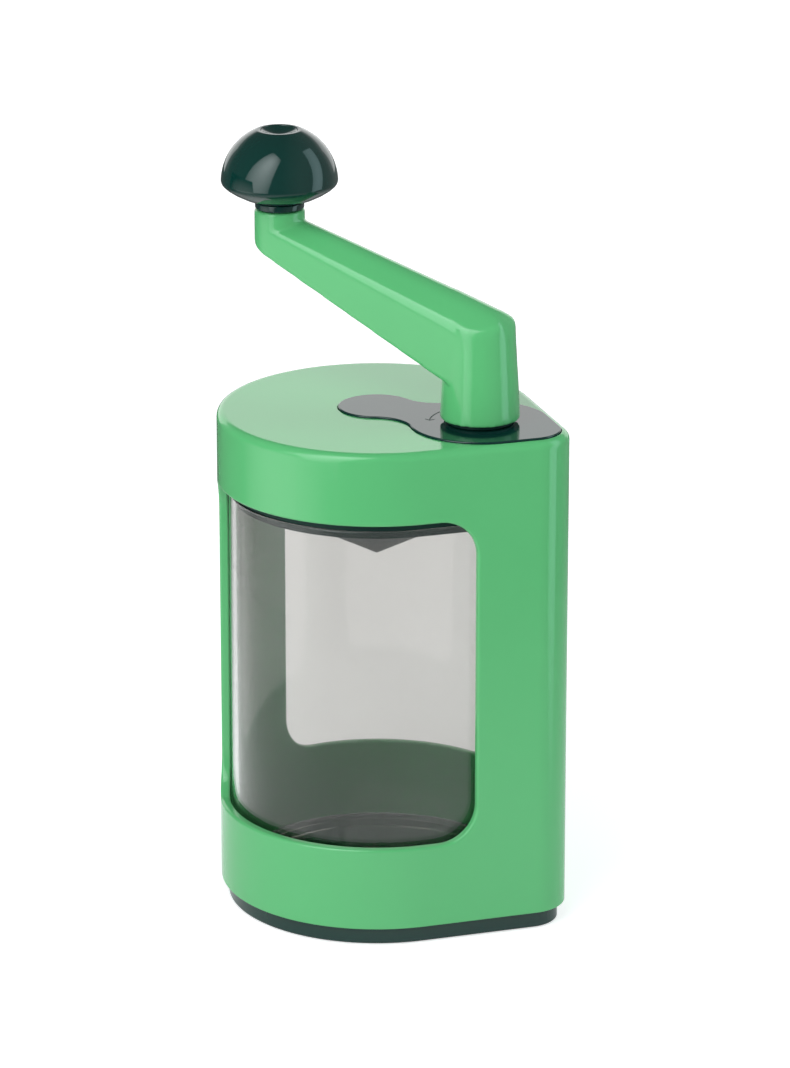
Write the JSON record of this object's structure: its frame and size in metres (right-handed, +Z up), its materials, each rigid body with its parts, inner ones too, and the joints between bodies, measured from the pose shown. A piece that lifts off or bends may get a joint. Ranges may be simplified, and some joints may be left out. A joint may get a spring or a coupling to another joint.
{
  "type": "rotary slicer",
  "caption": "Hand-cranked rotary slicer: a windowed sleeve with a geared, spiked holder slides down over a clear container with a cone-shaped blade insert.",
  "frame": {"origin": "on the vertical axis of the body's round part, on the standing face", "axes": "+Z up along the sleeve's travel and all crank axes, +X from the round part's axis to the square corner through the crank's axis"},
  "size_m": [0.1174, 0.0998, 0.2466],
  "materials": {
    "light_green_plastic": "high gloss, injection moulded",
    "dark_green_plastic": "high gloss, injection moulded",
    "clear_plastic": "clear, slightly grey, polished",
    "white_plastic": "natural acetal, satin",
    "stainless_steel": "fine brushed",
    "pad_rubber": "matt"
  },
  "bodies": {
    "base": {"foot_pad": "pad_rubber", "base_tray": "dark_green_plastic", "container": "clear_plastic", "blade_insert": "dark_green_plastic", "slicing_blade": "stainless_steel", "blade_screw_1": "stainless_steel", "blade_screw_2": "stainless_steel"},
    "sleeve": {"housing": "light_green_plastic", "gear_cover": "dark_green_plastic", "crank_bush": "white_plastic", "gearbox_plate": "white_plastic", "spindle_bush": "white_plastic", "plate_screw_1": "stainless_steel", "plate_screw_2": "stainless_steel", "plate_screw_3": "stainless_steel", "plate_screw_4": "stainless_steel"},
    "crank": {"crank_arm": "light_green_plastic", "crank_shaft": "stainless_steel", "crank_gear": "white_plastic", "crank_gear_screw": "stainless_steel", "hub_collar": "dark_green_plastic", "knob_axle": "stainless_steel", "knob_washer": "dark_green_plastic"},
    "spindle": {"spindle_shaft": "stainless_steel", "spindle_gear": "white_plastic", "spindle_gear_screw": "stainless_steel", "food_holder": "dark_green_plastic", "holder_screw": "stainless_steel", "holder_prong_1": "stainless_steel", "holder_prong_2": "stainless_steel", "holder_prong_3": "stainless_steel", "holder_prong_4": "stainless_steel", "holder_prong_5": "stainless_steel", "holder_prong_6": "stainless_steel"},
    "knob": {"knob": "dark_green_plastic", "knob_cap": "dark_green_plastic"}
  },
  "joints": [
    {"name": "sleeve_lift", "type": "slide", "parent": "base", "child": "sleeve", "axis": [0, 0, 1], "range_m": [0, 0.14]},
    {"name": "crank_turn", "type": "hinge", "parent": "sleeve", "child": "crank", "pos_m": [0.03603, 0, 0.17], "axis": [0, 0, 1], "continuous": true},
    {"name": "spindle_turn", "type": "hinge", "parent": "sleeve", "child": "spindle", "pos_m": [0, 0, 0.15], "axis": [0, 0, 1], "continuous": true},
    {"name": "knob_spin", "type": "hinge", "parent": "crank", "child": "knob", "pos_m": [-0.03397, 0, 0.23], "axis": [0, 0, 1], "continuous": true}
  ],
  "couplings": [
    {"joint": "spindle_turn", "follows": "crank_turn", "ratio": -0.5}
  ]
}
